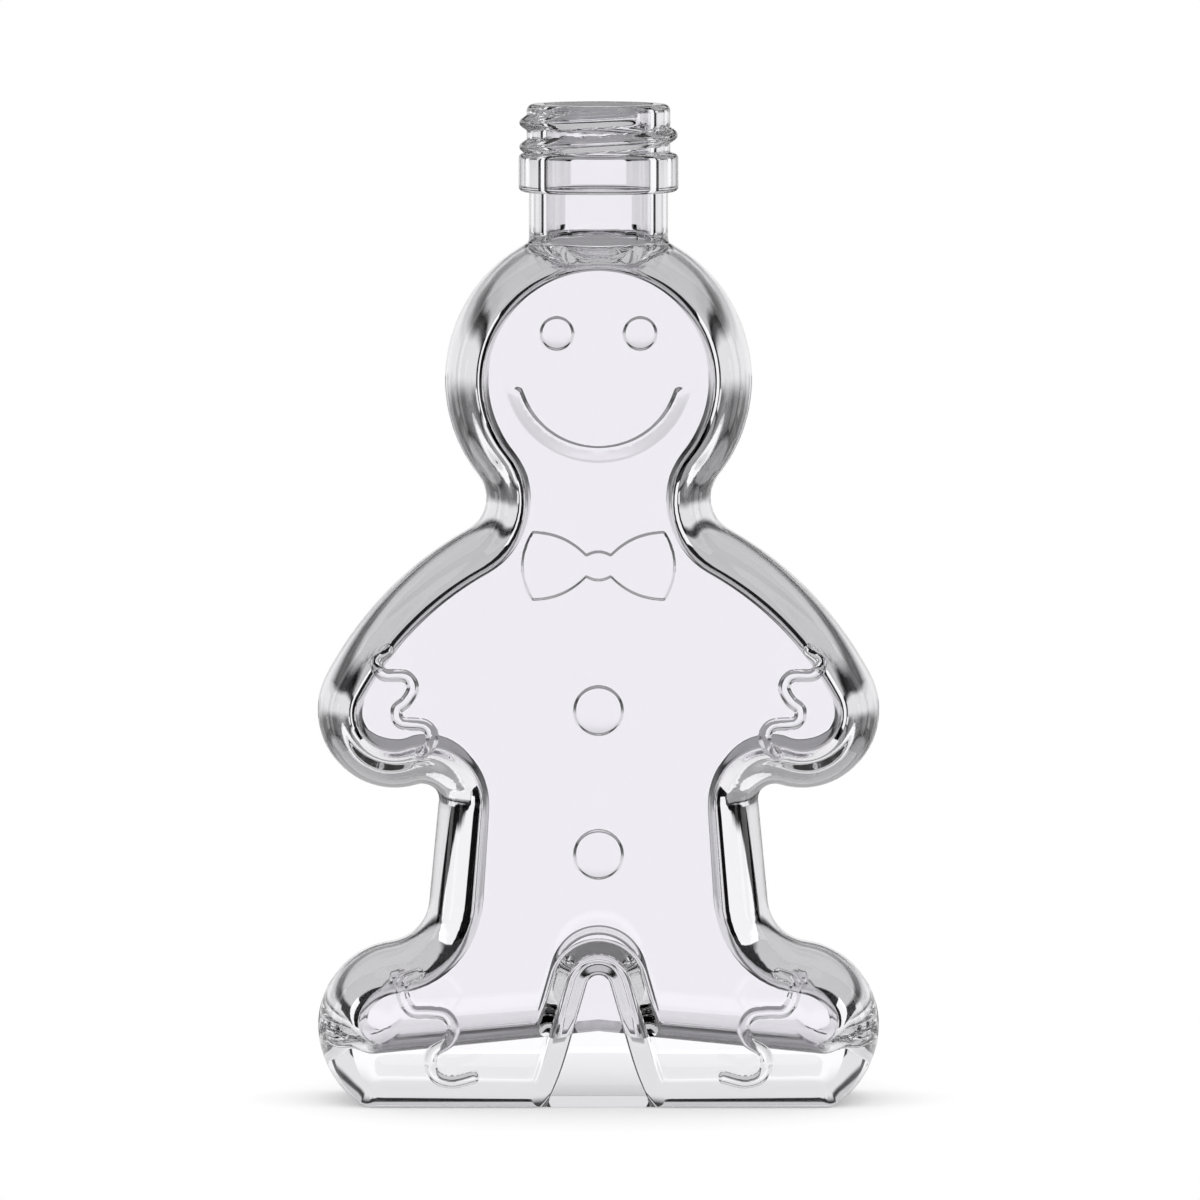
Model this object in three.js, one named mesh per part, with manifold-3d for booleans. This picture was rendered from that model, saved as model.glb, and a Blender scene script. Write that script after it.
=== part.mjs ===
// Gingerbread man bottle, one hollow piece of clear glass. Millimetres, +Z up, the figure's front faces -Y.
// The origin is the middle of the base, on the surface that the bottle stands on.
import * as THREE from 'three';
import { mergeVertices } from 'three/addons/utils/BufferGeometryUtils.js';
import Module from 'manifold-3d';

const wasm = await Module();
wasm.setup();
const { degToRad } = THREE.MathUtils;

// Overall width and depth of the figure
const WIDTH = 98.8;
const DEPTH = 34;

// Glass thickness at the sides, at the flat front and back, and under the contents
const SIDE_WALL = 3.8;
const PANEL_WALL = 4;
const BASE_WALL = 9.2;

// Rounding from the flat front and back into the side, a quarter of an ellipse: its width as seen from
// the front, outside and in the hollow, and the flat strip that it leaves round the side
const EDGE_WIDTH = 6;
const HOLLOW_EDGE_WIDTH = 4;
const SIDE_STRIP = 2;

// Head and throat
const HEAD_RADIUS = 27;
const HEAD_HEIGHT = 126.7;
const THROAT_RADIUS = 6.4;

// Arms: one long curve from the throat runs into the round hand
const ARM_RADIUS = 62.7;
const HAND_RADIUS = 13.65;
const HAND_HEIGHT = 68.6;
const ARM_MEETS_HAND = degToRad(27.9);
const ARMPIT_RADIUS = 2.8;

// Waist, hips and feet
const WAIST_HALF_WIDTH = 27.9;
const WAIST_FLARE = degToRad(5.4);
const HIP_RADIUS = 8;
const FOOT_RADIUS = 14.7;
const SOLE_CUT = 1.5;

// The foot's round ends at this angle below its centre and runs straight on to the sole;
// the rounded edge of the sole is cut off flat at this height, which leaves a deep base to stand on
const HEEL_ANGLE = degToRad(60);
const SOLE_TRIM = 4;

// Arch pressed into the front and back between the legs
const ARCH_HALF_WIDTH = 8.6;
const ARCH_CROWN_RADIUS = 2.6;
const ARCH_CROWN_HEIGHT = 20.9;
const ARCH_DEPTH = 2.6;
const ARCH_SLOPE = 3;

// Neck, from the crown of the head to the rim, and how far its foot reaches down into the head
const NECK_LENGTH = 21.3;
const NECK_ROOT = 8.5;
const NECK_RADIUS = 12.4;
const NECK_FILLET = 1.8;
const BORE_RADIUS = 9.2;

// Screw finish of 28 mm, its heights measured down from the rim
const FINISH_RADIUS = 12.6;
const LIP_RADIUS = 1.2;
const BORE_CHAMFER = 0.6;
const RING_RADIUS = 14;
const RING_DROP = 8.6;
const RING_HEIGHT = 6.8;
const RING_CHAMFER = 0.9;
const THREAD_RISE = 1.3;
const THREAD_PITCH = 4.233;
const THREAD_TURNS = 1.55;
const THREAD_DROP = 1.9;
const THREAD_START = degToRad(-58);
const THREAD_RUNOUT = 0.06;

// Raised features on the front, each with how far it stands proud
const EYE_RADIUS = 3;
const EYE_SPACING = 14.5;
const EYE_ABOVE_HEAD_CENTRE = 9;
const EYE_RISE = 0.5;
const SMILE_RADIUS = 15.3;
const SMILE_ABOVE_HEAD_CENTRE = 3.2;
const SMILE_ENDS = degToRad(15);
const SMILE_RIB_RADIUS = 1.55;
const SMILE_RISE = 0.9;
const BUTTON_RADIUS = 4.4;
const BUTTON_HEIGHTS = [69.8, 44.6];
const BUTTON_RISE = 0.6;
const BOW_HEIGHT = 95.1;
const BOW_HALF_WIDTH = 13.5;
const BOW_CORNER_X = 11.6;
const BOW_HALF_HEIGHT = 6.1;
const BOW_NECK_X = 2.1;
const BOW_NECK_HALF_HEIGHT = 2.1;
const BOW_SWELL_X = 6;
const BOW_KNOT_HALF_HEIGHT = 2.7;
const BOW_RISE = 0.5;
const CUFF_RIB_RADIUS = 1.05;
const CUFF_RISE = 0.6;

// Middle line of each wavy cuff, measured outwards and upwards from the centre of the hand or the foot
const ARM_CUFF = [
  [1.1, 11.7], [3, 9.9], [1.9, 7.5], [-2, 7.2], [-3.3, 5.2], [-2.2, 2.9],
  [-0.5, 1.3], [-1.2, -0.9], [-5.3, -1.4], [-6.7, -3.4], [-6, -5.3], [-4.7, -6.4],
];
const LEG_CUFF = [
  [-3, 10.3], [-0.5, 9.1], [-0.5, 6.4], [-2.1, 3.9], [-5.1, 3.7], [-7.9, 3.2], [-9.3, 0.9],
  [-8.3, -1.5], [-5.9, -3.2], [-5.3, -5.5], [-6.4, -7.8], [-9.1, -8.6], [-12.7, -7.8],
];

// Fineness of the facets
const CHORD_ERROR = 0.12;
const EDGE_STEPS = 4;
const CURVE_STEPS = 8;
const NECK_SIDES = 40;
const THREAD_STEPS_PER_TURN = 24;
const RIB_SIDES = 8;
const SMILE_STEPS = 24;
const CUFF_STEPS_PER_POINT = 3;
const DOME_SIDES = 20;
const DOME_RINGS = 8;
const WELD = 1e-4;

// Length by which a cutter or a sunk feature runs past the face that it meets
const OVERLAP = 1;

const FRONT = -DEPTH / 2;
const CROWN = HEAD_HEIGHT + HEAD_RADIUS;
const RIM = CROWN + NECK_LENGTH;

const point = (x, z) => new THREE.Vector2(x, z);
const polar = (centre, radius, angle) => point(
  centre.x + radius * Math.cos(angle),
  centre.y + radius * Math.sin(angle),
);
const angleTo = (from, to) => Math.atan2(to.y - from.y, to.x - from.x);

// Where two circles cross, on the right-hand side when looking from the first centre to the second
function crossing(first, firstRadius, second, secondRadius) {
  const gap = first.distanceTo(second);
  const along = (gap ** 2 + firstRadius ** 2 - secondRadius ** 2) / (2 * gap);
  const aside = Math.sqrt(firstRadius ** 2 - along ** 2);
  return polar(first, firstRadius, angleTo(first, second) + Math.atan2(-aside, along));
}

// Centre of a fillet that touches the waist line from outside and a circle above or below it
function waistFillet(radius, circle, circleRadius, circleIsAbove) {
  const outward = point(Math.cos(WAIST_FLARE), Math.sin(WAIST_FLARE));
  const downward = point(outward.y, -outward.x);
  const start = point(WAIST_HALF_WIDTH, HAND_HEIGHT - HAND_RADIUS).addScaledVector(outward, radius);
  const offset = start.clone().sub(circle);
  const middle = -offset.dot(downward);
  const reach = Math.sqrt((circleRadius + radius) ** 2 - offset.lengthSq() + middle ** 2);
  return start.addScaledVector(downward, circleIsAbove ? middle + reach : middle - reach);
}

// Centres of the arcs of the right half of the figure
const head = point(0, HEAD_HEIGHT);
const hand = point(WIDTH / 2 - HAND_RADIUS, HAND_HEIGHT);
const arm = polar(hand, HAND_RADIUS - ARM_RADIUS, ARM_MEETS_HAND);
const throat = crossing(arm, ARM_RADIUS + THROAT_RADIUS, head, HEAD_RADIUS + THROAT_RADIUS);
const foot = point(WIDTH / 2 - FOOT_RADIUS, FOOT_RADIUS - SOLE_CUT);
const armpit = waistFillet(ARMPIT_RADIUS, hand, HAND_RADIUS, true);
const hip = waistFillet(HIP_RADIUS, foot, FOOT_RADIUS, false);

// Points along an arc from one angle to another, as many as the chord error needs
function arcPoints(centre, radius, from, to) {
  const step = 2 * Math.acos(1 - CHORD_ERROR / (radius + CHORD_ERROR));
  const count = Math.ceil(Math.abs(to - from) / step);
  const turn = (to - from) / count;
  return Array.from({ length: count + 1 }, (_, i) => polar(centre, radius, from + turn * i));
}

// Right half of the figure's outline from the crown of the head to the sole, drawn in by an inset
function halfOutline(inset, soleHeight) {
  const headAngle = angleTo(head, throat);
  const armAngle = angleTo(arm, throat);
  const handAngle = angleTo(hand, armpit);
  const waistAngle = Math.PI + WAIST_FLARE;
  const footAngle = angleTo(foot, hip);
  const footRadius = FOOT_RADIUS - inset;
  const soleAngle = Math.asin(Math.min((foot.y - soleHeight) / footRadius, Math.sin(HEEL_ANGLE)));
  const heel = polar(foot, footRadius, -soleAngle);
  const points = [
    ...arcPoints(head, HEAD_RADIUS - inset, Math.PI / 2, headAngle),
    ...arcPoints(throat, THROAT_RADIUS + inset, headAngle + Math.PI, armAngle + Math.PI),
    ...arcPoints(arm, ARM_RADIUS - inset, armAngle, ARM_MEETS_HAND),
    ...arcPoints(hand, HAND_RADIUS - inset, ARM_MEETS_HAND, handAngle),
    ...arcPoints(armpit, ARMPIT_RADIUS + inset, handAngle + Math.PI, waistAngle),
    ...arcPoints(hip, HIP_RADIUS + inset, waistAngle, footAngle + Math.PI),
    ...arcPoints(foot, footRadius, footAngle, -soleAngle),
    point(heel.x - (heel.y - soleHeight) * Math.tan(HEEL_ANGLE), soleHeight),
  ];
  return points.filter((p, i) => i === 0 || p.distanceTo(points[i - 1]) > WELD);
}

// Whole outline: the right half and its mirror image
function outline(inset, soleHeight) {
  const right = halfOutline(inset, soleHeight);
  const left = right.slice(1).reverse().map((p) => point(-p.x, p.y));
  return new THREE.Shape([...right, ...left]);
}

// Turns a closed three.js geometry into a solid that can be joined and cut
function solid(geometry) {
  geometry.deleteAttribute('normal');
  geometry.deleteAttribute('uv');
  const merged = mergeVertices(geometry, WELD);
  const index = Array.from(merged.index.array);
  const triVerts = [];
  for (let i = 0; i < index.length; i += 3) {
    const [a, b, c] = index.slice(i, i + 3);
    if (a !== b && b !== c && c !== a) triVerts.push(a, b, c);
  }
  return new wasm.Manifold(new wasm.Mesh({
    numProp: 3,
    vertProperties: merged.attributes.position.array,
    triVerts: new Uint32Array(triVerts),
  }));
}

const union = (solids) => solids.reduce((whole, next) => whole.add(next));

// Extrusion of an upright shape through the depth of the bottle, centred on a depth
function upright(shape, thickness, centreY, bevel) {
  const geometry = new THREE.ExtrudeGeometry(shape, {
    depth: thickness,
    curveSegments: CURVE_STEPS,
    bevelEnabled: false,
    ...bevel,
  });
  return solid(geometry.rotateX(Math.PI / 2).translate(0, centreY + thickness / 2, 0));
}

// Round section of a rib or a thread
const ribSection = (radius) => new THREE.Shape(
  Array.from({ length: RIB_SIDES }, (_, i) => polar(point(0, 0), radius, (2 * Math.PI * i) / RIB_SIDES)),
);

// Round rib along a path
function rib(path, radius, steps) {
  return solid(new THREE.ExtrudeGeometry(ribSection(radius), { extrudePath: path, steps }));
}

// Solid of revolution about the bottle's axis, from points given as radius and height
const turned = (profile) => solid(new THREE.LatheGeometry(profile, NECK_SIDES).rotateX(Math.PI / 2));

// Solids that press the arch into the front and the back, grown by the glass over them
function archPresses(grow) {
  const half = ARCH_HALF_WIDTH + grow;
  const crown = ARCH_CROWN_RADIUS + grow;
  const lean = Math.atan2(half - crown, ARCH_CROWN_HEIGHT);
  const contour = new THREE.Shape([
    point(half, -OVERLAP),
    ...arcPoints(point(0, ARCH_CROWN_HEIGHT), crown, lean, Math.PI - lean),
    point(-half, -OVERLAP),
  ]);
  return [-1, 1].map((face) => upright(contour, 2 * OVERLAP, face * (DEPTH / 2 + OVERLAP), {
    bevelEnabled: true,
    bevelThickness: ARCH_DEPTH + grow,
    bevelSize: ARCH_SLOPE,
    bevelSegments: EDGE_STEPS,
  }));
}

// Rounded figure drawn in from the outer surface by a side and a face inset, down to the height of its sole
function figure(sideInset, faceInset, soleHeight, edgeWidth) {
  const face = outline(sideInset + edgeWidth, soleHeight + edgeWidth);
  const slab = upright(face, SIDE_STRIP, 0, {
    bevelEnabled: true,
    bevelThickness: (DEPTH - SIDE_STRIP) / 2 - faceInset,
    bevelSize: edgeWidth,
    bevelSegments: EDGE_STEPS,
  });
  return slab.subtract(union(archPresses(sideInset)));
}

// Outside of the neck, the locking ring and the wall that carries the thread
function neck() {
  const filletRadius = NECK_RADIUS + NECK_FILLET;
  const filletHeight = HEAD_HEIGHT + Math.sqrt(HEAD_RADIUS ** 2 - filletRadius ** 2) + NECK_FILLET;
  const ringTop = RIM - RING_DROP;
  const ringBottom = ringTop - RING_HEIGHT;
  return turned([
    point(0, CROWN - NECK_ROOT),
    point(filletRadius, CROWN - NECK_ROOT),
    ...arcPoints(point(filletRadius, filletHeight), NECK_FILLET, -Math.PI / 2, -Math.PI),
    point(NECK_RADIUS, ringBottom),
    point(RING_RADIUS - RING_CHAMFER, ringBottom),
    point(RING_RADIUS, ringBottom + RING_CHAMFER),
    point(RING_RADIUS, ringTop - RING_CHAMFER),
    point(FINISH_RADIUS, ringTop),
    ...arcPoints(point(FINISH_RADIUS - LIP_RADIUS, RIM - LIP_RADIUS), LIP_RADIUS, 0, Math.PI / 2),
    point(0, RIM),
  ]);
}

// Screw thread that comes out of the wall under the rim and sinks back into it
function thread() {
  const steps = Math.round(THREAD_TURNS * THREAD_STEPS_PER_TURN);
  const path = Array.from({ length: steps + 1 }, (_, i) => {
    const turns = (THREAD_TURNS * i) / steps;
    const runout = Math.min(turns, THREAD_TURNS - turns, THREAD_RUNOUT) / THREAD_RUNOUT;
    const radius = FINISH_RADIUS - THREAD_RISE * (1 - runout);
    const around = polar(point(0, 0), radius, THREAD_START - 2 * Math.PI * turns);
    return new THREE.Vector3(around.x, around.y, RIM - THREAD_DROP - THREAD_PITCH * turns);
  });
  return rib(new THREE.CatmullRomCurve3(path), THREAD_RISE, steps);
}

// Way in through the neck, eased at the rim
function bore() {
  return turned([
    point(0, CROWN - NECK_ROOT),
    point(BORE_RADIUS, CROWN - NECK_ROOT),
    point(BORE_RADIUS, RIM - BORE_CHAMFER),
    point(BORE_RADIUS + BORE_CHAMFER, RIM),
    point(BORE_RADIUS + BORE_CHAMFER, RIM + OVERLAP),
    point(0, RIM + OVERLAP),
  ]);
}

// Low round dome on the front
function dome(x, z, radius, rise) {
  const geometry = new THREE.SphereGeometry(radius, DOME_SIDES, DOME_RINGS);
  return solid(geometry.scale(1, rise / radius, 1).translate(x, FRONT, z));
}

// Smile: part of a ring, round in section, with round ends
function smile() {
  const centre = point(0, HEAD_HEIGHT + SMILE_ABOVE_HEAD_CENTRE);
  const y = FRONT + SMILE_RIB_RADIUS - SMILE_RISE;
  const angles = Array.from({ length: SMILE_STEPS + 1 }, (_, i) => (
    -SMILE_ENDS - ((Math.PI - 2 * SMILE_ENDS) * i) / SMILE_STEPS
  ));
  const points = angles.map((angle) => {
    const { x, y: z } = polar(centre, SMILE_RADIUS, angle);
    return new THREE.Vector3(x, y, z);
  });
  const ends = [points[0], points[SMILE_STEPS]].map((end) => {
    const ball = new THREE.SphereGeometry(SMILE_RIB_RADIUS, DOME_SIDES, DOME_RINGS);
    return solid(ball.translate(end.x, end.y, end.z));
  });
  return union([rib(new THREE.CatmullRomCurve3(points), SMILE_RIB_RADIUS, SMILE_STEPS), ...ends]);
}

// Bow tie: two wings and a knot in one low plate
function bowTie() {
  const shape = new THREE.Shape();
  shape.moveTo(BOW_NECK_X, BOW_HEIGHT + BOW_NECK_HALF_HEIGHT);
  for (const side of [1, -1]) {
    const z = (up) => BOW_HEIGHT + side * up;
    const [swell, corner, neckX] = [BOW_SWELL_X, BOW_CORNER_X, BOW_NECK_X].map((x) => side * x);
    const bulge = side * (2 * BOW_HALF_WIDTH - BOW_CORNER_X);
    const knot = 2 * BOW_KNOT_HALF_HEIGHT - BOW_NECK_HALF_HEIGHT;
    shape.quadraticCurveTo(swell, z(BOW_HALF_HEIGHT), corner, z(BOW_HALF_HEIGHT));
    shape.quadraticCurveTo(bulge, z(0), corner, z(-BOW_HALF_HEIGHT));
    shape.quadraticCurveTo(swell, z(-BOW_HALF_HEIGHT), neckX, z(-BOW_NECK_HALF_HEIGHT));
    shape.quadraticCurveTo(0, z(-knot), -neckX, z(-BOW_NECK_HALF_HEIGHT));
  }
  return upright(shape, BOW_RISE + OVERLAP, FRONT + (OVERLAP - BOW_RISE) / 2);
}

// How far the front stands out from the middle of the bottle at a place on the right half
function frontAt(place) {
  const edge = halfOutline(0, -SOLE_TRIM).map((p) => new THREE.Vector3(p.x, p.y, 0));
  const here = new THREE.Vector3(place.x, place.y, 0);
  const nearest = new THREE.Vector3();
  const distances = edge.slice(1).map((end, i) => {
    new THREE.Line3(edge[i], end).closestPointToPoint(here, true, nearest);
    return nearest.distanceTo(here);
  });
  const inset = Math.min(...distances, place.y + SOLE_TRIM, EDGE_WIDTH);
  const across = 1 - inset / EDGE_WIDTH;
  return SIDE_STRIP / 2 + ((DEPTH - SIDE_STRIP) / 2) * Math.sqrt(1 - across ** 2);
}

// Wavy cuff that follows the front and curls over its rounded edge, on both sides
function cuffs(centre, route) {
  const places = route.map(([out, up]) => point(centre.x + out, centre.y + up));
  const depths = places.map((place) => CUFF_RIB_RADIUS - CUFF_RISE - frontAt(place));
  return [-1, 1].map((side) => {
    const points = places.map((place, i) => new THREE.Vector3(side * place.x, depths[i], place.y));
    return rib(new THREE.CatmullRomCurve3(points), CUFF_RIB_RADIUS, points.length * CUFF_STEPS_PER_POINT);
  });
}

const eyeHeight = HEAD_HEIGHT + EYE_ABOVE_HEAD_CENTRE;
const raised = [
  ...[-1, 1].map((side) => dome((side * EYE_SPACING) / 2, eyeHeight, EYE_RADIUS, EYE_RISE)),
  ...BUTTON_HEIGHTS.map((height) => dome(0, height, BUTTON_RADIUS, BUTTON_RISE)),
  smile(),
  bowTie(),
  ...cuffs(hand, ARM_CUFF),
  ...cuffs(foot, LEG_CUFF),
];
const body = figure(0, 0, -SOLE_TRIM, EDGE_WIDTH).trimByPlane([0, 0, 1], 0);
const outside = union([body, neck(), thread(), ...raised]);
const inside = figure(SIDE_WALL, PANEL_WALL, BASE_WALL, HOLLOW_EDGE_WIDTH).add(bore());
const glass = outside.subtract(inside).getMesh();

const geometry = new THREE.BufferGeometry();
geometry.setAttribute('position', new THREE.BufferAttribute(glass.vertProperties, 3));
geometry.setIndex(new THREE.BufferAttribute(glass.triVerts, 1));

const clearGlass = new THREE.MeshStandardMaterial({ color: '#eeecf2', roughness: 0.03, metalness: 0 });
const glassBottle = new THREE.Mesh(geometry, clearGlass);
glassBottle.name = 'glass_bottle';

const bottle = new THREE.Group();
bottle.add(glassBottle);
export default bottle;
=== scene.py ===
"""Gingerbread man bottle of clear moulded glass on a white studio floor.

The bottle is modelled in millimetres and scaled to metres at the end. The front of the figure faces -Y.
"""
import math

import bmesh
import bpy
import numpy as np
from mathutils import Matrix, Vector, kdtree


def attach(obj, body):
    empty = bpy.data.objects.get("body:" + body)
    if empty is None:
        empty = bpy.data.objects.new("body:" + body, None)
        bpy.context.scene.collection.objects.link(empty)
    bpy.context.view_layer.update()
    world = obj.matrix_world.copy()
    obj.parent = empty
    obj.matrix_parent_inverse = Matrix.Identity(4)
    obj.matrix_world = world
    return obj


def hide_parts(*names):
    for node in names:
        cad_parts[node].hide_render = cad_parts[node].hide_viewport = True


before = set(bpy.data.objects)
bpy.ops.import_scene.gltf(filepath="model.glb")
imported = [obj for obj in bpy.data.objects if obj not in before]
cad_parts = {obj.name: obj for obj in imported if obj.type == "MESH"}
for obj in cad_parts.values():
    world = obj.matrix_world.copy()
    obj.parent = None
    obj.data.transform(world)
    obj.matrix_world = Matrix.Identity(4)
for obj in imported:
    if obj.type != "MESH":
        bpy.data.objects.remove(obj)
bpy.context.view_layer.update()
MM = 0.001

# Overall width and depth of the figure, and the thickness of the glass
WIDTH = 98.7
DEPTH = 34
SIDE_WALL = 3.8
PANEL_WALL = 4
BASE_WALL = 9.2

# Section of the rounded border, outside and in the hollow: the turn where it leaves the panel, and how softly
# that is rounded
CREASE = math.radians(3)
SOFT = 1.5
HOLLOW_CREASE = math.radians(26)
HOLLOW_SOFT = 0.3

# Share of the depth that the sole stands on, and the power by which the round foot turns into it
SOLE_SHARE = 0.84
SOLE_TURN = 2

# Width of the border, outside and in the hollow, where the arcs of the outline meet: from the crown of the
# head to the foot, and last at its sole
BORDER = (6, 5.6, 5.6, 5.6, 5.8, 6.5, 6.5, 6.5, 4.6)
HOLLOW_BORDER = (7.2, 7.4, 7.6, 7.4, 7.6, 8.6, 9.1, 8, 14.1)

# Rise of the hollow's floor towards the middle, in millimetres for each millimetre
FLOOR_RISE = 0.1

# Head, arms, waist and feet, and the corners where the feet run into the sole and into the hollow's floor
HEAD_RADIUS = 27
HEAD_HEIGHT = 126.7
THROAT_RADIUS = 6.4
ARM_RADIUS = 62.7
HAND_RADIUS = 13.65
HAND_HEIGHT = 68.6
ARM_MEETS_HAND = math.radians(27.9)
ARMPIT_RADIUS = 2.8
WAIST_HALF_WIDTH = 27.9
WAIST_FLARE = math.radians(5.4)
HIP_RADIUS = 8
FOOT_RADIUS = 14.7
SOLE_CUT = 1.5
SOLE_CORNER = 4
HOLLOW_CORNER = 6

# Arch pressed in between the legs: the outline and the depth of its floor, the flare of its foot, the width
# of the slope up to the face, and how softly that starts and ends. In the hollow it starts a gap further out
ARCH_HALF_WIDTH = 8.6
ARCH_CROWN_RADIUS = 2.6
ARCH_CROWN_HEIGHT = 20.9
ARCH_FLARE_HEIGHT = 9
ARCH_FLARE = 1.2
ARCH_DEPTH = 2.6
ARCH_SLOPE = 3
ARCH_EASE = 0.5
HOLLOW_ARCH_GAP = 3.1
HOLLOW_ARCH_SLOPE = 2.7
HOLLOW_ARCH_EASE = 0.4

# Neck and screw finish: the foot reaches down into the head, the straight wall starts above the foot's
# fillet, and the drops are measured from the rim
NECK_LENGTH = 21.3
NECK_RADIUS = 12.2
NECK_FILLET = 1.8
NECK_DEPTH = 8.5
NECK_WALL_START = 1
BORE_RADIUS = 9.2
FINISH_RADIUS = 12.6
LIP_RADIUS = 1.2
BORE_EASE = 0.8
RING_RADIUS = 14
RING_DROP = 8.6
RING_HEIGHT = 6.8
RING_EASE = 0.9
THREAD_RISE = 1.3
THREAD_HALF_WIDTH = 1.35
THREAD_PITCH = 4.233
THREAD_TURNS = 1.55
THREAD_DROP = 1.9
THREAD_START = math.radians(-58)
THREAD_RUNOUT = 0.06

# Raised features on the front: each starts with a small step, from which the domes and ribs swell by their
# rise. The smile rises to its inner edge, and that rise fades towards the bottom by a share
EDGE_STEP = 0.25
EDGE_RUN = 0.45
EYE_RADIUS = 3
EYE_SPACING = 14.5
EYE_HEIGHT = HEAD_HEIGHT + 9
EYE_RISE = 0.25
SMILE_RADIUS = 15.3
SMILE_HEIGHT = HEAD_HEIGHT + 3.2
SMILE_ENDS = math.radians(15)
SMILE_RIB_RADIUS = 1.55
SMILE_STEP = 0.05
SMILE_RISE = 0.75
SMILE_RUN = 0.9
SMILE_FADE = 0.8
BUTTON_RADIUS = 4.4
BUTTON_HEIGHTS = (69.8, 44.6)
BUTTON_RISE = 0.4
BOW_HEIGHT = 95.1
BOW_HALF_WIDTH = 13.5
BOW_CORNER_X = 11.6
BOW_HALF_HEIGHT = 6.1
BOW_NECK_X = 2.1
BOW_NECK_HALF_HEIGHT = 2.1
BOW_SWELL_X = 6
BOW_KNOT_HALF_HEIGHT = 2.7
BOW_RISE = 0.35
CUFF_RIB_RADIUS = 1.05
CUFF_RISE = 0.4

# Middle line of each wavy cuff, measured outwards and upwards from the centre of the hand or the foot
ARM_CUFF = (
    (1.1, 11.7), (3, 9.9), (1.9, 7.5), (-2, 7.2), (-3.3, 5.2), (-2.2, 2.9),
    (-0.5, 1.3), (-1.2, -0.9), (-5.3, -1.4), (-6.7, -3.4), (-6, -5.3), (-4.7, -6.4),
)
LEG_CUFF = (
    (-3, 10.3), (-0.5, 9.1), (-0.5, 6.4), (-2.1, 3.9), (-5.1, 3.7), (-7.9, 3.2), (-9.3, 0.9),
    (-8.3, -1.5), (-5.9, -3.2), (-5.3, -5.5), (-6.4, -7.8), (-9.1, -8.6), (-12.7, -7.8),
)

# Lengths by which a cutter runs past what it cuts: under the base, past the face and over the rim
ARCH_OVERRUN = 0.5
FACE_OVERRUN = 2
RIM_OVERRUN = 1

# Fineness of the mesh: sizes and turns between its points, and how many points or steps there are
CELL = 1.2
ARC_STEP = math.radians(7)
PANEL_MARGIN = 0.4
CURVE_STEPS = 10
CUFF_STEPS = 6
SMILE_POINTS = 40
RINGS = 20
HOLLOW_RINGS = 16
SECTION_POINTS = 400
SECTION_STEP = 0.02
SECTION_TURN = math.radians(5)
SECTION_RUN = 1.5
SECTION_SIZES = 12
SOFT_REACH = 2.5
ARCH_POINTS = 9
ARCH_CROWN_POINTS = 33
ARCH_LIP_SHARE = 0.85
NECK_SIDES = 120
NECK_STEPS = 8
ROUND_STEPS = 6
FINISH_POINTS = 36
FINISH_MARGIN = 0.2
BORE_POINTS = 40
RELIEF_MARGINS = (1.2, 0.7, 0.45)
FRONT_LIMIT = -1

# Distances below which points are merged, and faces count as part of the flat panel
SLIVER = 0.2
MERGE = 0.0002
FACE_MARGIN = 0.002

# Shading: the turn past which an edge stays sharp, and at the neck's foot the reach over which the shading is
# evened and the room beside, below and above the junction that takes part
SHARP_TURN = math.radians(40)
CALM_REACH = 1.6
JUNCTION_SIDE = 3
JUNCTION_BELOW = 3.5
JUNCTION_ABOVE = 2.5

# White paper under the bottle, in metres, a hair below the sole, with its glow and what the camera sees more
PAPER_WIDTH = 0.24
PAPER_FRONT = -0.12
PAPER_BACK = 0.09
PAPER_DROP = 0.00005
PAPER_GLOW = 0.08
PAPER_GLOW_SEEN = 0.16

# Studio as the glass sees it: white cards in a dark room. Each has the azimuths and the heights between which
# it is seen, its brightness, and how soft its edges are across and upwards. Azimuth 0 is behind the bottle
# and to the right is positive; all angles are in degrees
CARDS = (
    (-9, 9, -12, 7.5, 0.78, 0.5, 0.5), (-9, 9, -13, -0.9, 0.265, 0.5, 2),
    (-12, -9, -3, 8, 0.8, 0.5, 0.1), (9, 12, -3, 8, 0.8, 0.5, 0.1),
    (-44, -12, -4.6, 8, 0.8, 0.5, 2.5), (12, 44, -4.6, 8, 0.8, 0.5, 2.5),
    (-38, -12, -12, -4.6, 0.15, 0.5, 2.5), (12, 38, -12, -4.6, 0.15, 0.5, 2.5),
    (-47, -38, -12, -5.2, 0.9, 0.8, 0.8), (38, 47, -12, -5.2, 0.9, 0.8, 0.8),
    (-54, 54, 15, 60, 0.58, 2, 2),
    (-48, 48, -45, -14, 0.35, 1, 1),
    (-62, -52, -20, 27, 1, 0.5, 0.5), (52, 70, -20, 27, 1, 0.5, 0.5),
    (-97, -84, -12, 8, 0.8, 1, 1), (84, 97, -12, 8, 0.8, 1, 1),
    (-55, -35, -38, -16, 0.65, 1, 1), (123, 147, -26, -8, 1, 1, 1),
    (-180, 180, 62, 90, 0.5, 2, 2),
)

# Camera: a long lens a little above the bottle, in metres
CAMERA_LENS = 480
CAMERA_PLACE = (0.00026, -2.8, 0.291)
CAMERA_AIM = (0.00026, 0, 0.0879)
CAMERA_REACH = 20

CROWN = HEAD_HEIGHT + HEAD_RADIUS
RIM = CROWN + NECK_LENGTH


def polar(centre, radius, angle):
    """Point at a distance and an angle from a centre."""
    return np.array([centre[0] + radius * math.cos(angle), centre[1] + radius * math.sin(angle)])


def angle_to(start, end):
    """Angle of the line from one point to another."""
    return math.atan2(end[1] - start[1], end[0] - start[0])


def crossing(first, first_radius, second, second_radius):
    """Where two circles cross, on the right-hand side when looking from the first to the second."""
    gap = math.dist(first, second)
    along = (gap**2 + first_radius**2 - second_radius**2) / (2 * gap)
    aside = math.sqrt(first_radius**2 - along**2)
    return polar(first, first_radius, angle_to(first, second) + math.atan2(-aside, along))


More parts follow.
